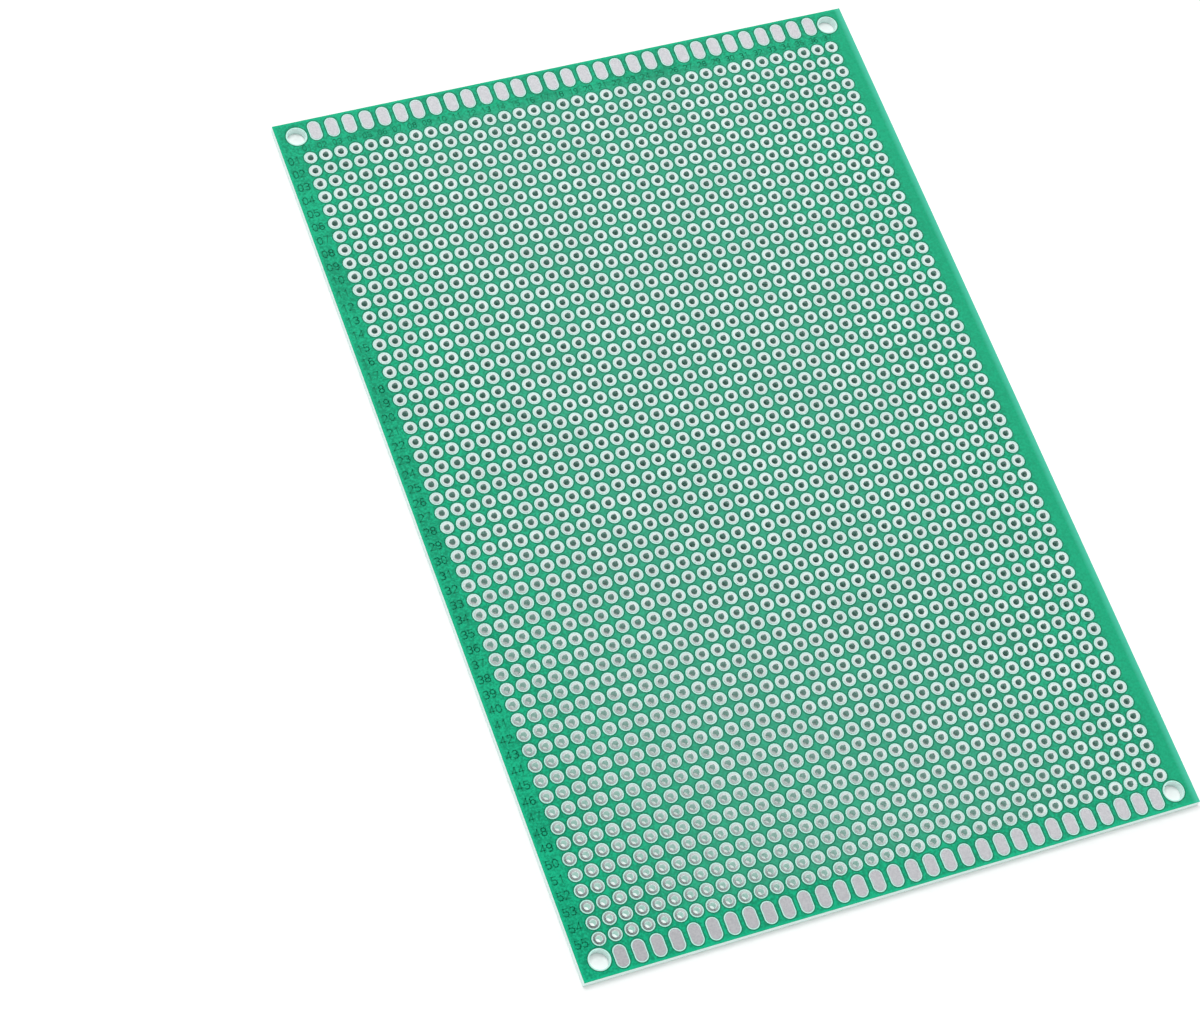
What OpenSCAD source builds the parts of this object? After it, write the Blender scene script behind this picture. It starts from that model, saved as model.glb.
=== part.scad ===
// Prototype board: a glass-epoxy sheet coated with green mask on both faces, drilled
// with a grid of plated through holes, with a row of tinned oval pads along each
// short end and a bare screw hole in each corner.
// Millimetres. X runs across the board, Y along it towards row 1, and Z out of the
// front face. Z = 0 is the plane that the rear pads rest on.

/* [Sheet] */
// Width, across X
board_w = 100; // [98:0.5:120]
// Length, along Y
board_l = 150; // [150:0.5:180]
// Glass-epoxy sheet with its two coats of mask
sheet_t = 1.5; // [0.8:0.1:3.2]
// Width of the lane between two rows where the mask settles
lane_w = 0.3; // [0.1:0.05:0.5]
// Depth that the mask settles in a lane
lane_sag = 0.01; // [0.005:0.005:0.02]

/* [Hole grid] */
// Hole to hole, both ways
pitch = 2.54; // [2.2:0.01:2.54]
// Holes across X
columns = 37; // [6:1:37]
// Rows in each of the blocks that the holes are grouped in
block_rows = 5; // [1:1:5]
// Distance from the board's middle to the grid's, towards the last row
grid_shift = 0.7; // [0:0.05:0.8]
// Finished bore of a plated hole
bore_d = 1; // [0.6:0.05:1.2]
// Thickness of the plating in the hole
plating_t = 0.05; // [0.03:0.01:0.08]
// Round pad
pad_d = 1.8; // [1.6:0.05:2]
// Height that a pad stands above the sheet
pad_t = 0.05; // [0.03:0.01:0.1]

/* [Edge pads] */
// Pads along each short end
edge_pads = 31; // [3:1:31]
// Pad to pad
edge_pitch = 2.9; // [2.2:0.05:2.9]
// Width across X
edge_pad_w = 1.75; // [1:0.05:2]
// Length along Y, round ends included
edge_pad_l = 3.3; // [2.4:0.05:3.6]
// From the board's short edge to a pad's middle
edge_pad_inset = 2.35; // [2.1:0.05:2.4]

/* [Screw holes] */
// Bare hole in each corner
screw_d = 3; // [2:0.1:3.2]
// From the board's long edge to the hole's centre
screw_inset_x = 3.3; // [2.5:0.05:3.5]
// From the board's short edge to the hole's centre
screw_inset_y = 2.75; // [2.2:0.05:2.8]

/* [Hidden] */
blocks = 11;
rows = blocks * block_rows;
board_t = sheet_t + 2 * pad_t;
drill_r = bore_d / 2 + plating_t;
cut = 1;
$fn = 32;

function column_x(i) = (i - (columns - 1) / 2) * pitch;
// Y of row j, counted from 0 at the first row, which is nearest the +Y end
function row_y(j) = ((rows - 1) / 2 - j) * pitch - grid_shift;

// full-width band of the sheet that holds one row of holes
module row_band() {
  band_l = pitch - lane_w;
  difference() {
    translate([-board_w / 2, -band_l / 2, 0]) cube([board_w, band_l, sheet_t]);
    for (i = [0 : columns - 1])
      translate([column_x(i), 0, -cut]) cylinder(r = drill_r, h = sheet_t + 2 * cut);
  }
}

// full-width lane between two rows
module lane() {
  translate([-board_w / 2, -lane_w / 2, lane_sag]) cube([board_w, lane_w, sheet_t - 2 * lane_sag]);
}

// plain margin from the outermost row's band to a short edge, with its two screw holes
module end_margin(y0, y1, screw_y) {
  difference() {
    translate([-board_w / 2, y0, 0]) cube([board_w, y1 - y0, sheet_t]);
    for (s = [-1, 1])
      translate([s * (board_w / 2 - screw_inset_x), screw_y, -cut])
        cylinder(d = screw_d, h = sheet_t + 2 * cut);
  }
}

module sheet() {
  band_l = pitch - lane_w;
  color([0.07, 0.6, 0.42]) translate([0, 0, pad_t]) union() {
    for (j = [0 : rows - 1]) translate([0, row_y(j), 0]) row_band();
    for (j = [1 : rows - 1]) translate([0, row_y(j - 0.5), 0]) lane();
    end_margin(row_y(0) + band_l / 2, board_l / 2, board_l / 2 - screw_inset_y);
    end_margin(-board_l / 2, row_y(rows - 1) - band_l / 2, -board_l / 2 + screw_inset_y);
  }
}

// plated hole: a pad on each face joined by the lining of the hole
module plated_hole() {
  bore_r = bore_d / 2;
  pad_r = pad_d / 2;
  rotate_extrude() polygon([
    [bore_r, 0], [pad_r, 0], [pad_r, pad_t], [drill_r, pad_t],
    [drill_r, board_t - pad_t], [pad_r, board_t - pad_t], [pad_r, board_t], [bore_r, board_t],
  ]);
}

// all the plated holes of block b, counted from 0 at the first rows
module plated_holes(b) {
  color([0.82, 0.82, 0.84])
    for (j = [b * block_rows : (b + 1) * block_rows - 1], i = [0 : columns - 1])
      translate([column_x(i), row_y(j), 0]) plated_hole();
}

module edge_pad() {
  linear_extrude(pad_t) union() {
    square([edge_pad_w, edge_pad_l - edge_pad_w], center = true);
    for (s = [-1, 1]) translate([0, s * (edge_pad_l - edge_pad_w) / 2]) circle(d = edge_pad_w);
  }
}

// row of oval pads at one short end; end is 1 at +Y and -1 at -Y
module edge_pad_row(end, z) {
  color([0.78, 0.77, 0.79])
    for (i = [0 : edge_pads - 1])
      translate([(i - (edge_pads - 1) / 2) * edge_pitch, end * (board_l / 2 - edge_pad_inset), z])
        edge_pad();
}

sheet();
plated_holes(0);  // plated_holes_block_01
plated_holes(1);  // plated_holes_block_02
plated_holes(2);  // plated_holes_block_03
plated_holes(3);  // plated_holes_block_04
plated_holes(4);  // plated_holes_block_05
plated_holes(5);  // plated_holes_block_06
plated_holes(6);  // plated_holes_block_07
plated_holes(7);  // plated_holes_block_08
plated_holes(8);  // plated_holes_block_09
plated_holes(9);  // plated_holes_block_10
plated_holes(10);  // plated_holes_block_11
edge_pad_row(1, board_t - pad_t);  // front_edge_pads_first_end
edge_pad_row(-1, board_t - pad_t);  // front_edge_pads_last_end
edge_pad_row(1, 0);  // rear_edge_pads_first_end
edge_pad_row(-1, 0);  // rear_edge_pads_last_end
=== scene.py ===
"""A prototype board on a pale bench: a drilled glass-epoxy sheet with green mask,
tinned plated holes, oval pads along the short ends, and row and column numbers."""
import math

import bpy
import numpy as np
from mathutils import Matrix, Vector


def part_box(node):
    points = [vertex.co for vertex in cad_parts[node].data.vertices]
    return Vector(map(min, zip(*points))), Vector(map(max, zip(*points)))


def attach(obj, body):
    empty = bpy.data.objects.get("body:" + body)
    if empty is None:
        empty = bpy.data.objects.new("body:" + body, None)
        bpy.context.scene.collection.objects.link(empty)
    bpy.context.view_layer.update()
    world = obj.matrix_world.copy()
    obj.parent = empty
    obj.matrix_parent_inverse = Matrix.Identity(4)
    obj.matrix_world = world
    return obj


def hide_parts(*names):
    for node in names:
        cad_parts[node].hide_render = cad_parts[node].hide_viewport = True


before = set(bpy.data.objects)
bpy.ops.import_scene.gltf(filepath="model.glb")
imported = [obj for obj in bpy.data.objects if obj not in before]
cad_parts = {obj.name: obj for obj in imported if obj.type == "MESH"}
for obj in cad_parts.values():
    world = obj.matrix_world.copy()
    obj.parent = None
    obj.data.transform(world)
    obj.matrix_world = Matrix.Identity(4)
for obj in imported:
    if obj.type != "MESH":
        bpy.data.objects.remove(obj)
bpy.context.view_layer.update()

MM = 0.001
scene = bpy.context.scene

# The drilled sheet
# The board is one sheet of woven glass cloth in pale epoxy. Both faces carry a printed
# coat of green mask, and the sawn edges and screw holes show the bare pale laminate.

SHEET_LOW, SHEET_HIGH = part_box("sheet")
HALF_W, HALF_L = SHEET_HIGH.x, SHEET_HIGH.y
REAR_FACE, FRONT_FACE = SHEET_LOW.z, SHEET_HIGH.z
MASK_COAT = 0.03 * MM
MASK_ROUGHNESS, MASK_SHINE = 0.25, 0.25
MASK_RIPPLE, RIPPLE_HEIGHT, RIPPLE_STRENGTH = 0.9 * MM, 0.004 * MM, 0.6
SPECKLE, CLOUD, SPECKLE_SHARE = 0.34 * MM, 9 * MM, 0.7
CLOTH_PITCH, PLY = 0.42 * MM, 0.19 * MM
MASK_GREEN = (0.005, 0.485, 0.245, 1)
MASK_GREEN_DEEP = (0.001, 0.280, 0.140, 1)
MASK_GREEN_EVEN = (0.0035, 0.405, 0.202, 1)
# Painted sheen: the paler green of the mask in the middle of the grid.
MASK_GREEN_SHEEN = (0.067, 0.365, 0.246, 1)
MASK_GREEN_EDGE = (0.003, 0.510, 0.265, 1)
MASK_GREEN_PALE = (0.080, 0.600, 0.420, 1)
# Painted shade: the dark green of the ring just outside every opening.
MASK_RING_SHADE = (0.001, 0.155, 0.082, 1)
LAMINATE_PALE = (0.82, 0.97, 0.94, 1)
LAMINATE_YARN = (0.69, 0.92, 0.87, 1)

PITCH = 2.54 * MM
COLUMNS, ROWS = 37, 55
GRID_SHIFT = 0.7 * MM
OPENING_R = 1.08 * MM
OVALS, OVAL_PITCH, OVAL_IN = 31, 2.9 * MM, 2.35 * MM
OVAL_W, OVAL_L = 1.75 * MM, 3.3 * MM
OVAL_GAP = 0.17 * MM
SCREW_R, SCREW_OPENING_R = 1.5 * MM, 1.72 * MM
SCREW_IN_X, SCREW_IN_Y = 3.3 * MM, 2.75 * MM
# The painted shade round every opening is darkest this far outside it and gone this far out.
SHADE_NEAR, SHADE_FAR = 0.07 * MM, 0.30 * MM
# Where the mask's tone changes: along X, along Y, or with the distance from a sawn edge.
RIGHT_MARGIN, RIGHT_EDGE = (46 * MM, 48 * MM), (HALF_W - 1.3 * MM, HALF_W - 0.3 * MM)
# The painted sheen in the middle of the grid is full inside the second size of each pair and gone
# past the first, across and along.
SHEEN_ACROSS, SHEEN_ALONG = (48 * MM, 15 * MM), (71 * MM, 67 * MM)
SAWN_EDGE = (0.6 * MM, 0.15 * MM)
# Of these shares, the second is how strong the painted sheen is and the last how dark the painted
# shade round the openings is.
EVEN_SHARE, SHEEN_SHARE, EDGE_SHARE, RING_SHADE_SHARE = 0.65, 0.5, 0.7, 0.85


class Finish:
    """A material under construction: makes its nodes and joins them up."""

    def __init__(self, name):
        self.material = bpy.data.materials.new(name)
        self.material.use_nodes = True
        self.tree = self.material.node_tree
        self.tree.nodes.clear()
        self.out = self.tree.nodes.new("ShaderNodeOutputMaterial")
        place = self.tree.nodes.new("ShaderNodeTexCoord").outputs["Object"]
        self.place = place
        self.x, self.y, self.z = self.node("ShaderNodeSeparateXYZ", Vector=place).outputs

    def node(self, kind, settings=None, **inputs):
        """A node of that kind, its settings set, each named input given a value or a link."""
        made = self.tree.nodes.new(kind)
        for key, value in (settings or {}).items():
            setattr(made, key, value)
        for key, value in inputs.items():
            self.feed(made.inputs[key.replace("_", " ")], value)
        return made

    def feed(self, socket, value):
        if isinstance(value, bpy.types.NodeSocket):
            self.tree.links.new(value, socket)
        else:
            socket.default_value = value

    def calc(self, operation, *values):
        """One Math node; its inputs are numbers or outputs of other nodes."""
        made = self.tree.nodes.new("ShaderNodeMath")
        made.operation = operation
        for socket, value in zip(made.inputs, values):
            self.feed(socket, value)
        return made.outputs[0]

    def ramp(self, value, low, high):
        """0 at low, 1 at high, and a smooth step between."""
        made = self.node("ShaderNodeMapRange", {"interpolation_type": "SMOOTHSTEP"})
        self.feed(made.inputs["Value"], value)
        self.feed(made.inputs["From Min"], low)
        self.feed(made.inputs["From Max"], high)
        return made.outputs["Result"]

    def blend(self, factor, a, b):
        """Colour a at factor 0 and colour b at factor 1."""
        made = self.node("ShaderNodeMix", {"data_type": "RGBA"})
        self.feed(made.inputs["Factor"], factor)
        self.feed(made.inputs[6], a)
        self.feed(made.inputs[7], b)
        return made.outputs[2]

    def noise(self, size, detail=3.0, roughness=0.5):
        """Noise whose largest patches are about `size` metres across."""
        return self.node("ShaderNodeTexNoise", Vector=self.place, Scale=1 / size,
                         Detail=detail, Roughness=roughness).outputs["Fac"]

    def bump(self, height, distance, strength=1.0):
        return self.node("ShaderNodeBump", Height=height, Distance=distance,
                         Strength=strength).outputs["Normal"]

    def skin(self, **inputs):
        return self.node("ShaderNodeBsdfPrincipled", **inputs).outputs[0]

    def mixed(self, factor, a, b):
        """Shader a where factor is 0 and shader b where it is 1."""
        made = self.tree.nodes.new("ShaderNodeMixShader")
        for socket, value in zip(made.inputs, (factor, a, b)):
            self.feed(socket, value)
        return made.outputs[0]

    def done(self, shader):
        self.tree.links.new(shader, self.out.inputs["Surface"])
        return self.material


def cloth_weave(finish):
    """Plain weave: the product of two sine waves, one along X and one along Y."""
    turn = 2 * math.pi / CLOTH_PITCH
    warp = finish.calc("SINE", finish.calc("MULTIPLY", finish.x, turn))
    weft = finish.calc("SINE", finish.calc("MULTIPLY", finish.y, turn))
    return finish.calc("MULTIPLY", warp, weft)


def near_opening(finish, dx, dy, radius):
    """1 just outside an opening of that radius, fading to 0 over the ring of painted shade round it.
    """
    square = finish.calc("ADD", finish.calc("MULTIPLY", dx, dx), finish.calc("MULTIPLY", dy, dy))
    return finish.ramp(finish.calc("SQRT", square), radius + SHADE_FAR, radius + SHADE_NEAR)


def inside(finish, value, half):
    """1 where |value| < half, else 0."""
    return finish.calc("LESS_THAN", finish.calc("ABSOLUTE", value), half)


def on_grid(finish):
    """1 over the grid of plated holes, else 0."""
    grid_y = finish.calc("ADD", finish.y, GRID_SHIFT)
    return finish.calc("MULTIPLY", inside(finish, finish.x, COLUMNS / 2 * PITCH),
                       inside(finish, grid_y, ROWS / 2 * PITCH))


def painted_ring_shade(finish):
    """Painted shade in a ring round every opening: the distance to the nearest round pad, oval or
    screw hole comes from X and Y folded at half the pitch, or at the board's middle."""
    grid_y = finish.calc("ADD", finish.y, GRID_SHIFT)
    pads = near_opening(finish, finish.calc("PINGPONG", finish.x, PITCH / 2),
                        finish.calc("PINGPONG", grid_y, PITCH / 2), OPENING_R)
    side, end = finish.calc("ABSOLUTE", finish.x), finish.calc("ABSOLUTE", finish.y)
    along = finish.calc("ABSOLUTE", finish.calc("SUBTRACT", end, HALF_L - OVAL_IN))
    past = finish.calc("MAXIMUM", finish.calc("SUBTRACT", along, (OVAL_L - OVAL_W) / 2), 0.0)
    ovals = near_opening(finish, finish.calc("PINGPONG", finish.x, OVAL_PITCH / 2), past,
                         OVAL_W / 2 + OVAL_GAP)
    on_row = inside(finish, finish.x, OVALS / 2 * OVAL_PITCH)
    screws = near_opening(finish, finish.calc("SUBTRACT", side, HALF_W - SCREW_IN_X),
                          finish.calc("SUBTRACT", end, HALF_L - SCREW_IN_Y), SCREW_OPENING_R)
    ring_shade = finish.calc("MAXIMUM", finish.calc("MULTIPLY", pads, on_grid(finish)),
                       finish.calc("MULTIPLY", ovals, on_row))
    return finish.calc("MAXIMUM", ring_shade, screws)


def sheet_finish():
    """Green mask on the two faces, bare laminate on every wall deeper than the mask's coat.
    The mask's speckle is faint in the right margin. A painted sheen makes the mask paler in the
    middle of the grid, the mask is thin, so paler, along the right edge, and painted shade
    darkens it in a ring round every opening."""
    f = Finish("green_masked_glass_epoxy")
    clouds = f.calc("MULTIPLY", f.noise(CLOUD, 4), 1 - SPECKLE_SHARE)
    mottle = f.calc("ADD", clouds, f.calc("MULTIPLY", f.noise(SPECKLE, 1), SPECKLE_SHARE))
    green = f.blend(f.ramp(mottle, 0.34, 0.66), MASK_GREEN_DEEP, MASK_GREEN)
    right_margin = f.ramp(f.x, *RIGHT_MARGIN)
    green = f.blend(f.calc("MULTIPLY", right_margin, EVEN_SHARE), green, MASK_GREEN_EVEN)
    side, end = f.calc("ABSOLUTE", f.x), f.calc("ABSOLUTE", f.y)
    # Painted sheen: the green goes paler in the middle of the grid.
    sheen_in_middle = f.calc("MULTIPLY", f.ramp(side, *SHEEN_ACROSS), f.ramp(end, *SHEEN_ALONG))
    green = f.blend(f.calc("MULTIPLY", sheen_in_middle, SHEEN_SHARE), green, MASK_GREEN_SHEEN)
    from_edge = f.calc("MINIMUM", f.calc("SUBTRACT", HALF_W, side), f.calc("SUBTRACT", HALF_L, end))
    near_edge = f.ramp(from_edge, *SAWN_EDGE)
    green = f.blend(f.calc("MULTIPLY", near_edge, EDGE_SHARE), green, MASK_GREEN_EDGE)
    right_edge = f.ramp(f.x, *RIGHT_EDGE)
    green = f.blend(f.calc("MULTIPLY", right_edge, EDGE_SHARE), green, MASK_GREEN_PALE)
    # Painted shade: a dark ring round every opening.
    green = f.blend(f.calc("MULTIPLY", painted_ring_shade(f), RING_SHADE_SHARE), green, MASK_RING_SHADE)
    relief = f.calc("ADD", f.calc("MULTIPLY", cloth_weave(f), 0.3), f.noise(MASK_RIPPLE, 3, 0.6))
    mask = f.skin(Base_Color=green, Roughness=MASK_ROUGHNESS, Specular_IOR_Level=MASK_SHINE,
                  Normal=f.bump(relief, RIPPLE_HEIGHT, RIPPLE_STRENGTH))
    plies = f.calc("SINE", f.calc("MULTIPLY", f.z, 2 * math.pi / PLY))
    streaks = f.calc("MULTIPLY", f.ramp(plies, -0.4, 0.9), f.noise(0.8 * MM))
    pale = f.blend(streaks, LAMINATE_PALE, LAMINATE_YARN)
    wall = f.skin(Base_Color=pale, Roughness=0.55)
    upright = f.node("ShaderNodeNewGeometry").outputs["True Normal"]
    slope = f.calc("ABSOLUTE", f.node("ShaderNodeSeparateXYZ", Vector=upright).outputs[2])
    is_wall = f.calc("LESS_THAN", slope, 0.5)
    above = f.calc("GREATER_THAN", f.z, REAR_FACE + MASK_COAT)
    below = f.calc("LESS_THAN", f.z, FRONT_FACE - MASK_COAT)
    bare = f.calc("MULTIPLY", is_wall, f.calc("MULTIPLY", above, below))
    return f.done(f.mixed(bare, mask, wall))


def dress(node, material):
    """Gives a CAD node's mesh one material."""
    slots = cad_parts[node].data.materials
    slots.clear()
    slots.append(material)


dress("sheet", sheet_finish())

# The openings in the mask
# The mask is printed a little clear of every pad and screw hole, on both faces. The
# bare glass-epoxy left showing is a thin pale ring round each of them.

PAD_R = 0.90 * MM
RIM_LIFT = 0.004 * MM
# The rims start a little under the pads' edges, at these shares of the pads' sizes.
PAD_SHARE, OVAL_SHARES = 0.95, (0.95, 0.97)
RIM_PALE = (0.62, 0.95, 0.87, 1)
RIM_YARN = (0.48, 0.89, 0.78, 1)


def grid_places(first_row=0, last_row=ROWS):
    """X and Y of the holes of rows first_row up to last_row, row 0 being nearest +Y."""
    x = (np.arange(COLUMNS) - (COLUMNS - 1) / 2) * PITCH
    y = ((ROWS - 1) / 2 - np.arange(first_row, last_row)) * PITCH - GRID_SHIFT
    return np.stack(np.meshgrid(x, y), -1).reshape(-1, 2)


def oval_places():
    """X and Y of the oval pads of both short ends."""
    x = (np.arange(OVALS) - (OVALS - 1) / 2) * OVAL_PITCH
    y = np.array([1, -1]) * (HALF_L - OVAL_IN)
    return np.stack(np.meshgrid(x, y), -1).reshape(-1, 2)


def screw_places():
    x = np.array([1, -1]) * (HALF_W - SCREW_IN_X)
    y = np.array([1, -1]) * (HALF_L - SCREW_IN_Y)
    return np.stack(np.meshgrid(x, y), -1).reshape(-1, 2)


def slot_outline(width, length, points):
    """Round-ended outline: a circle of that width, its upper half moved up and its lower
    half moved down by half of what the length exceeds the width."""
    turn = (np.arange(points) + 0.5) / points * 2 * np.pi
    x, y = np.cos(turn) * width / 2, np.sin(turn) * width / 2
    return np.stack([x, y + np.sign(y) * (length - width) / 2], -1)


def strip_faces(rings, points):
    """Quads between neighbouring rings of a closed outline, ring by ring."""
    ring, point = np.meshgrid(np.arange(rings - 1), np.arange(points), indexing="ij")
    step = (point + 1) % points
    quads = np.stack([ring * points + point, ring * points + step,
                      (ring + 1) * points + step, (ring + 1) * points + point], -1)
    return quads.reshape(-1, 4)


def repeated(corners, quads, places):
    """One shape at every place: its corners shifted, its quads counted on."""
    shift = np.column_stack([places, np.zeros(len(places))])
    all_corners = (corners[None] + shift[:, None]).reshape(-1, 3)
    count = np.arange(len(places))[:, None, None] * len(corners)
    return all_corners, (quads[None] + count).reshape(-1, 4)


def joined(parts):
    """Several (corners, quads) pairs as one."""
    starts = np.cumsum([0] + [len(c) for c, _ in parts[:-1]])
    return (np.concatenate([c for c, _ in parts]),
            np.concatenate([q + s for (_, q), s in zip(parts, starts)]))


def make_piece(name, corners, quads, material, smooth=None):
    """A mesh object of those corners and quads; smooth is the largest angle shaded over."""
    mesh = bpy.data.meshes.new(name)
    mesh.vertices.add(len(corners))
    mesh.vertices.foreach_set("co", corners.astype(np.float32).ravel())
    mesh.loops.add(quads.size)
    mesh.loops.foreach_set("vertex_index", quads.astype(np.int32).ravel())
    mesh.polygons.add(len(quads))
    mesh.polygons.foreach_set("loop_start", np.arange(0, quads.size, 4, dtype=np.int32))
    mesh.update(calc_edges=True)
    if smooth is not None:
        mesh.polygons.foreach_set("use_smooth", np.ones(len(quads), bool))
        mesh.set_sharp_from_angle(angle=math.radians(smooth))
    mesh.materials.append(material)
    piece = bpy.data.objects.new(name, mesh)
    scene.collection.objects.link(piece)
    return piece


def flat_ring(inner, outer, z, up):
    """The band between two outlines at height z, facing up or down."""
    corners = np.concatenate([outer, inner])
    quads = strip_faces(2, len(outer))
    return np.column_stack([corners, np.full(len(corners), z)]), quads if up else quads[:, ::-1]


def circle(radius, points):
    return slot_outline(2 * radius, 2 * radius, points)


def bare_laminate_finish():
    f = Finish("bare_laminate_rim")
    pale = f.blend(f.noise(0.6 * MM), RIM_PALE, RIM_YARN)
    return f.done(f.skin(Base_Color=pale, Roughness=0.5))


bare_laminate = bare_laminate_finish()
oval_inner = slot_outline(OVAL_W * OVAL_SHARES[0], OVAL_L * OVAL_SHARES[1], 24)
oval_outer = slot_outline(OVAL_W + 2 * OVAL_GAP, OVAL_L + 2 * OVAL_GAP, 24)
for side, z, up in (("front", FRONT_FACE + RIM_LIFT, True), ("rear", REAR_FACE - RIM_LIFT, False)):
    rings = [
        (grid_places(), flat_ring(circle(PAD_R * PAD_SHARE, 16), circle(OPENING_R, 16), z, up)),
        (oval_places(), flat_ring(oval_inner, oval_outer, z, up)),
        (screw_places(), flat_ring(circle(SCREW_R, 48), circle(SCREW_OPENING_R, 48), z, up)),
    ]
    corners, quads = joined([repeated(*ring, places) for places, ring in rings])
    rims = make_piece(side + "_mask_openings", corners, quads, bare_laminate)
    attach(rims, "root")

# The plated holes
# Each hole is drilled through the sheet and lined with copper that spreads into a round
# pad on both faces. Dipping in tin leaves the pads slightly domed with a rolled lip.

PAD_HEIGHT = 0.05 * MM
PAD_EDGE = 0.045 * MM
BORE_R, LIP_DEPTH = 0.5 * MM, 0.05 * MM
WALL_R = 0.55 * MM
CREST_R = 0.56 * MM
BOARD_TOP = FRONT_FACE + PAD_HEIGHT
HOLE_SIDES = 12
SHARP = 33
BLOCK_ROWS = 5
TIN_CLOUD, TIN_GRAIN, GRAIN_HEIGHT = 4 * MM, 0.35 * MM, 0.012 * MM
TIN_BRIGHT = (0.83, 0.925, 0.91, 1)
TIN_DULL = (0.71, 0.80, 0.785, 1)
# The bore's tin is duller than the pads' and mint green; the green is a painted reflection of the
# green board.
BORE_TIN_PAINTED_GREEN = (0.62, 0.88, 0.81, 1)
# The bore's duller tin begins between these depths below either face.
BORE_FROM, BORE_TO = 0.04 * MM, 0.08 * MM


def revolved(profile, sides):
    """A closed profile of (radius, height) pairs turned about Z: ring k of the surface is
    the profile's point k at `sides` even angles."""
    turn = np.arange(sides) / sides * 2 * np.pi
    radius, height = profile[:, :1], profile[:, 1:]
    rings = np.stack([radius * np.cos(turn), radius * np.sin(turn),
                      height + np.zeros(sides)], -1)
    rings = np.concatenate([rings, rings[:1]])
    quads = strip_faces(len(rings), sides)
    quads = np.where(quads >= len(profile) * sides, quads - len(profile) * sides, quads)
    return rings[:-1].reshape(-1, 3), quads


def plated_hole():
    """Front face, rolled lip and bore, the same on the rear face, and the lining's outside."""
    front = np.array([(PAD_R, FRONT_FACE + PAD_EDGE), (CREST_R, BOARD_TOP),
                      (BORE_R, BOARD_TOP - LIP_DEPTH)])
    rear = front[::-1] * (1, -1) + (0, BOARD_TOP)
    lining = np.array([(WALL_R, REAR_FACE), (WALL_R, FRONT_FACE)])
    return revolved(np.concatenate([front, rear, lining]), HOLE_SIDES)


def bright_tin_finish():
    f = Finish("bright_tin")
    tone = f.ramp(f.noise(TIN_CLOUD, 4), 0.3, 0.7)
    colour = f.blend(tone, TIN_DULL, TIN_BRIGHT)
    grain = f.noise(TIN_GRAIN, 3)
    rough = f.calc("ADD", 0.10, f.calc("MULTIPLY", grain, 0.16))
    from_middle = f.calc("ABSOLUTE", f.calc("SUBTRACT", f.z, BOARD_TOP / 2))
    in_bore = f.ramp(from_middle, BOARD_TOP / 2 - BORE_FROM, BOARD_TOP / 2 - BORE_TO)
    face = f.skin(Base_Color=colour, Metallic=1.0, Roughness=rough,
                  Normal=f.bump(grain, GRAIN_HEIGHT, 0.2))
    # Painted reflection: the bore's tin carries a mint green.
    bore = f.skin(Base_Color=BORE_TIN_PAINTED_GREEN, Metallic=0.45, Roughness=0.35)
    return f.done(f.mixed(in_bore, face, bore))


bright_tin = bright_tin_finish()
hole_shape = plated_hole()
for block in range(ROWS // BLOCK_ROWS):
    places = grid_places(block * BLOCK_ROWS, (block + 1) * BLOCK_ROWS)
    name = f"plated_holes_block_{block + 1:02d}"
    holes = make_piece("tinned_" + name, *repeated(*hole_shape, places), bright_tin, smooth=SHARP)
    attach(holes, "root")
    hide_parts(name)

# The oval edge pads
# A row of copper pads without holes lies along each short end, on both faces. Their
# tin is flat and matt, with a fine grain.

EDGE_GRAIN, EDGE_GRAIN_HEIGHT = 0.28 * MM, 0.015 * MM
EDGE_TIN = (0.60, 0.605, 0.635, 1)
EDGE_TIN_PALE = (0.75, 0.755, 0.785, 1)


def matt_tin_finish():
    f = Finish("matt_tin")
    grain = f.noise(EDGE_GRAIN, 4, 0.6)
    colour = f.blend(f.ramp(grain, 0.3, 0.7), EDGE_TIN, EDGE_TIN_PALE)
    return f.done(f.skin(Base_Color=colour, Metallic=0.6, Roughness=0.24,
                         Normal=f.bump(grain, EDGE_GRAIN_HEIGHT, 0.4)))


matt_tin = matt_tin_finish()
for node in ("front_edge_pads_first_end", "front_edge_pads_last_end",
             "rear_edge_pads_first_end", "rear_edge_pads_last_end"):
    dress(node, matt_tin)

# The row and column numbers
# The rows are numbered down the front face's left margin and the columns above the
# first row. The figures are copper under the mask, so they show as darker green.

FIGURE_H, FIGURE_W = 1.2 * MM, 0.72 * MM
STROKE = 0.17 * MM
FIGURE_STEP = 1.08 * MM
NUMBER_X = -48.45 * MM
FIGURE_LIFT = 0.003 * MM
FIGURE_GREEN = (0.001, 0.225, 0.108, 1)
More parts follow.
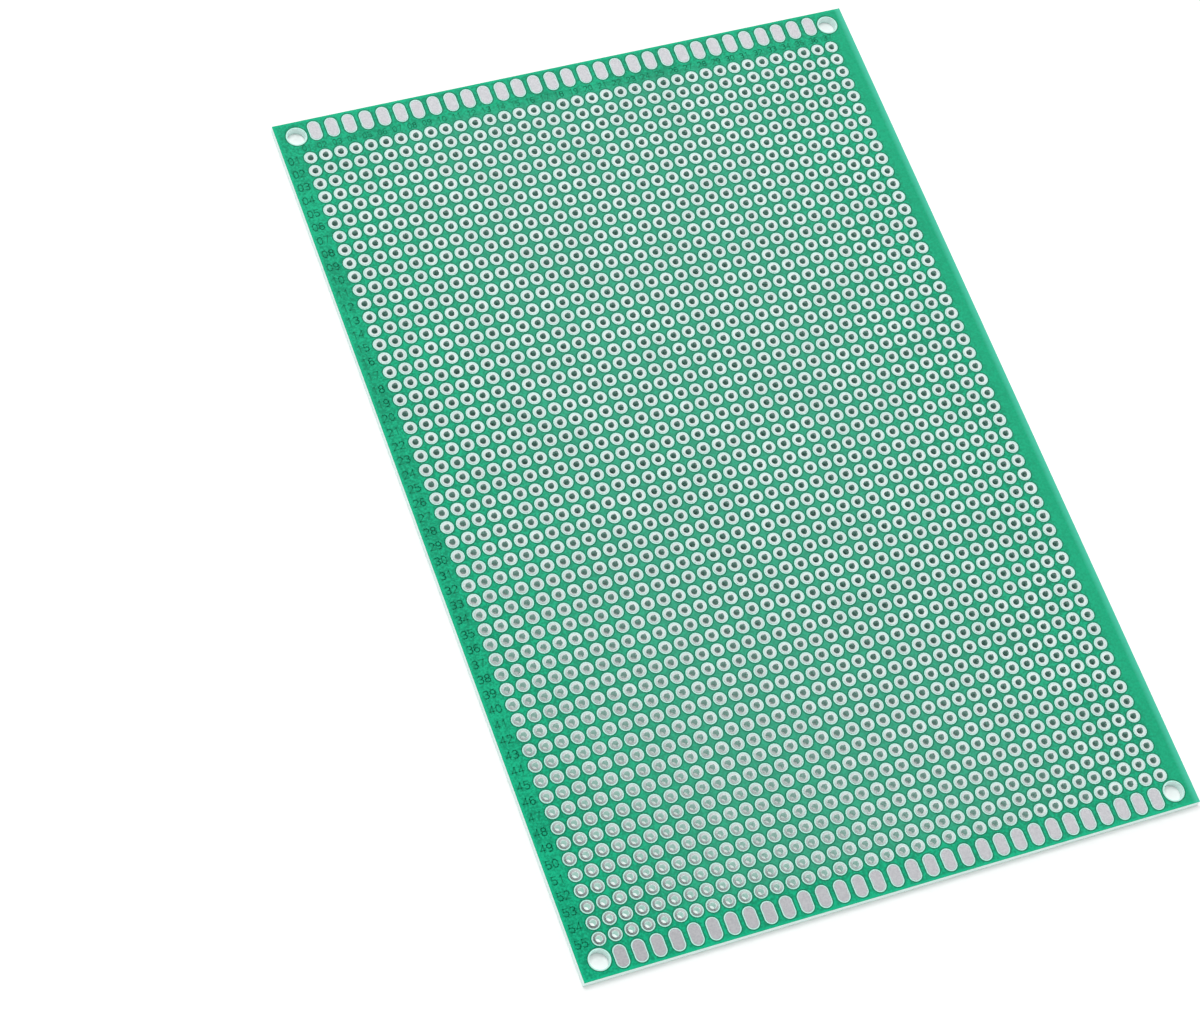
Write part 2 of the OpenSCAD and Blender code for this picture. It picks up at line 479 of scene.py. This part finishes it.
# Each figure's pen lines through points on a grid 2 wide and 4 high.
FIGURES = {
    "0": [[(0, 1), (0, 3), (0.6, 4), (1.4, 4), (2, 3), (2, 1), (1.4, 0), (0.6, 0), (0, 1)]],
    "1": [[(0.4, 3.2), (1.2, 4), (1.2, 0)]],
    "2": [[(0, 3.2), (0.5, 4), (1.5, 4), (2, 3.2), (2, 2.5), (0, 0), (2, 0)]],
    "3": [[(0, 3.5), (0.6, 4), (1.5, 4), (2, 3.3), (2, 2.7), (1.4, 2.1), (0.8, 2.1)],
          [(1.4, 2.1), (2, 1.5), (2, 0.7), (1.4, 0), (0.5, 0), (0, 0.5)]],
    "4": [[(1.5, 0), (1.5, 4), (0, 1.2), (2, 1.2)]],
    "5": [[(1.9, 4), (0.2, 4), (0.1, 2.3), (1.4, 2.4), (2, 1.7), (2, 0.7), (1.4, 0), (0.5, 0),
           (0, 0.5)]],
    "6": [[(1.8, 3.7), (1.2, 4), (0.6, 4), (0, 3), (0, 1), (0.6, 0), (1.4, 0), (2, 0.7), (2, 1.6),
           (1.4, 2.3), (0.6, 2.3), (0, 1.6)]],
    "7": [[(0, 4), (2, 4), (0.8, 0)]],
    "8": [[(0.6, 2.1), (0.1, 2.7), (0.1, 3.4), (0.6, 4), (1.4, 4), (1.9, 3.4), (1.9, 2.7), (1.4, 2.1),
           (0.6, 2.1), (0, 1.5), (0, 0.6), (0.6, 0), (1.4, 0), (2, 0.6), (2, 1.5), (1.4, 2.1)]],
    "9": [[(0.2, 0.3), (0.8, 0), (1.4, 0), (2, 1), (2, 3), (1.4, 4), (0.6, 4), (0, 3.3), (0, 2.4),
           (0.6, 1.7), (1.4, 1.7), (2, 2.4)]],
}


def number_strokes(text, x, y, size):
    """The straight strokes of a number about (x, y), size 1 being the row numbers'."""
    strokes = []
    for place, figure in enumerate(text):
        left = x + (place - (len(text) - 1) / 2) * FIGURE_STEP * size - FIGURE_W * size / 2
        for line in FIGURES[figure]:
            points = np.array(line) * (FIGURE_W / 2, FIGURE_H / 4) * size
            points += (left, y - FIGURE_H * size / 2)
            strokes += list(np.hstack([points[:-1], points[1:]]))
    return strokes


def stroke_quads(lines, width, z):
    """A flat bar of that width along each line, square past both ends by half a width."""
    lines = np.array(lines)
    a, b = lines[:, :2], lines[:, 2:]
    along = (b - a) / np.linalg.norm(b - a, axis=1)[:, None] * width / 2
    across = along[:, ::-1] * (-1, 1)
    corners = np.stack([a - along - across, b + along - across,
                        b + along + across, a - along + across], 1).reshape(-1, 2)
    quads = np.arange(len(corners)).reshape(-1, 4)
    return np.column_stack([corners, np.full(len(corners), z)]), quads


def figure_finish():
    f = Finish("figure_under_mask")
    ripple = f.bump(f.noise(MASK_RIPPLE, 3, 0.6), RIPPLE_HEIGHT, RIPPLE_STRENGTH)
    return f.done(f.skin(Base_Color=FIGURE_GREEN, Roughness=MASK_ROUGHNESS,
                         Specular_IOR_Level=MASK_SHINE, Normal=ripple))


row_y = grid_places()[::COLUMNS, 1]
column_x = grid_places()[:COLUMNS, 0]
row_lines = [line for row, y in enumerate(row_y)
             for line in number_strokes(f"{row + 1:02d}", NUMBER_X, y, 1.0)]
figures_under_mask = figure_finish()
numbers = make_piece("row_numbers", *stroke_quads(row_lines, STROKE, FRONT_FACE + FIGURE_LIFT),
                     figures_under_mask)
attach(numbers, "root")

COLUMN_SIZE = 0.78
COLUMN_Y = row_y[0] + 1.95 * MM
column_lines = [line for column, x in enumerate(column_x)
                for line in number_strokes(f"{column + 1:02d}", x, COLUMN_Y, COLUMN_SIZE)]
marks = make_piece("column_numbers",
                   *stroke_quads(column_lines, STROKE * COLUMN_SIZE, FRONT_FACE + FIGURE_LIFT),
                   figures_under_mask)
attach(marks, "root")

# The bench, the light and the camera
# The board lies on a white bench in a pale studio tent with a softbox straight overhead
# and a dim gap round the softbox. A polarised key lamp lights it from the far left, and
# nothing mirrors that lamp. The camera looks down on it from the near left.

FLOOR_R = 3.0
BENCH_WHITE, BENCH_SHADE = (0.92, 0.92, 0.92, 1), (0.22, 0.26, 0.245, 1)
BENCH_GLOW = 0.15
GLOW_BY_CORNER, GLOW_IN_MIDDLE = 0.82, 0.01
# The glow fades between these two values of x + 1.2 y.
CORNER_SLANT, GLOW_STARTS, GLOW_ENDS = 1.2, -10 * MM, -150 * MM
TENT, TENT_GAP = 1.0, 0.04
GAP_AXIS, STRAIGHT_UP = Vector((-0.62, -0.78, 3.6)).normalized(), Vector((0, 0, 1))
# Cosines of the angles over which the gap's outer rim and the softbox's edge are soft.
GAP_RIM, SOFTBOX_EDGE = (0.750, 0.800), (0.992, 0.975)
KEY_POWER, KEY_SIZE = 4.2, 0.35
KEY_AT = Vector((-0.16, 0.26, 1.0))
CAMERA_AT = Vector((-0.166598, -0.199704, 0.443308))
CAMERA_FORWARD = Vector((0.28672, 0.38791, -0.87596))
CAMERA_RIGHT = Vector((0.92909, -0.33556, 0.15551))
CAMERA_LENS = 98.76


def floor_finish():
    """White card with a little light of its own to the eye and in the metal, so it shows as
    white while its shadows stay. Under the holes the card is in the board's deep shade, and
    both its white and its light come back towards the near left corner, with x + 1.2 y."""
    f = Finish("bench_white")
    under = on_grid(f)
    slant = f.calc("ADD", f.x, f.calc("MULTIPLY", f.y, CORNER_SLANT))
    nearness = f.ramp(slant, GLOW_STARTS, GLOW_ENDS)
    shade = f.calc("MULTIPLY", under, f.calc("SUBTRACT", 1.0, nearness))
    card = f.skin(Base_Color=f.blend(shade, BENCH_WHITE, BENCH_SHADE), Roughness=0.9)
    in_holes = f.calc("ADD", GLOW_IN_MIDDLE,
                      f.calc("MULTIPLY", nearness, GLOW_BY_CORNER - GLOW_IN_MIDDLE))
    strength = f.calc("ADD", f.calc("MULTIPLY", under, in_holes),
                      f.calc("MULTIPLY", f.calc("SUBTRACT", 1.0, under), BENCH_GLOW))
    glow = f.node("ShaderNodeEmission", Color=(1, 1, 1, 1), Strength=strength).outputs[0]
    path = f.node("ShaderNodeLightPath").outputs
    seen = f.calc("MAXIMUM", path["Is Camera Ray"],
                  f.calc("MAXIMUM", path["Is Glossy Ray"], path["Is Transmission Ray"]))
    nothing = f.node("ShaderNodeEmission", Color=(0, 0, 0, 1), Strength=0.0).outputs[0]
    extra = f.mixed(seen, nothing, glow)
    total = f.tree.nodes.new("ShaderNodeAddShader")
    f.feed(total.inputs[0], card)
    f.feed(total.inputs[1], extra)
    return f.done(total.outputs[0])


def world_tent():
    """The studio tent: white all round and straight overhead, with a dim gap between. The
    gap is where the angle to its tilted axis is small and the angle to straight up isn't."""
    world = bpy.data.worlds.new("studio_tent")
    scene.world = world
    world.use_nodes = True
    tree = world.node_tree
    tree.nodes.clear()
    out = tree.nodes.new("ShaderNodeOutputWorld")
    place = tree.nodes.new("ShaderNodeTexCoord")
    steps = []
    for axis, (low, high) in ((GAP_AXIS, GAP_RIM), (STRAIGHT_UP, SOFTBOX_EDGE)):
        across = tree.nodes.new("ShaderNodeVectorMath")
        across.operation = "DOT_PRODUCT"
        across.inputs[1].default_value = axis
        tree.links.new(place.outputs["Generated"], across.inputs[0])
        step = tree.nodes.new("ShaderNodeMapRange")
        step.interpolation_type = "SMOOTHSTEP"
        step.inputs["From Min"].default_value = low
        step.inputs["From Max"].default_value = high
        tree.links.new(across.outputs["Value"], step.inputs["Value"])
        steps.append(step.outputs["Result"])
    gap = tree.nodes.new("ShaderNodeMath")
    gap.operation = "MULTIPLY"
    tree.links.new(steps[0], gap.inputs[0])
    tree.links.new(steps[1], gap.inputs[1])
    level = tree.nodes.new("ShaderNodeMapRange")
    level.inputs["To Min"].default_value = TENT
    level.inputs["To Max"].default_value = TENT_GAP
    tree.links.new(gap.outputs[0], level.inputs["Value"])
    tent = tree.nodes.new("ShaderNodeBackground")
    tent.inputs["Color"].default_value = (1, 1, 1, 1)
    tree.links.new(level.outputs["Result"], tent.inputs["Strength"])
    tree.links.new(tent.outputs[0], out.inputs["Surface"])


side = np.array([-1, 1]) * FLOOR_R
floor_corners = np.array([(side[0], side[0], 0), (side[1], side[0], 0),
                          (side[1], side[1], 0), (side[0], side[1], 0)])
floor = make_piece("bench", floor_corners, np.array([[0, 1, 2, 3]]), floor_finish())

world_tent()
key = bpy.data.lights.new("key", "AREA")
key.energy, key.size = KEY_POWER, KEY_SIZE
key_object = bpy.data.objects.new("key", key)
key_object.location = KEY_AT
key_object.rotation_euler = (-KEY_AT).to_track_quat("-Z", "Y").to_euler()
key_object.visible_glossy = False
scene.collection.objects.link(key_object)

lens = bpy.data.cameras.new("view")
lens.lens = CAMERA_LENS
lens.clip_start, lens.clip_end = 0.01, 20
camera = bpy.data.objects.new("view", lens)
back = -CAMERA_FORWARD.normalized()
right = (CAMERA_RIGHT - CAMERA_RIGHT.dot(back) * back).normalized()
camera.matrix_world = Matrix.Translation(CAMERA_AT) @ Matrix(
    (right, back.cross(right), back)).transposed().to_4x4()
scene.collection.objects.link(camera)
scene.camera = camera
scene.view_settings.view_transform = "Standard"
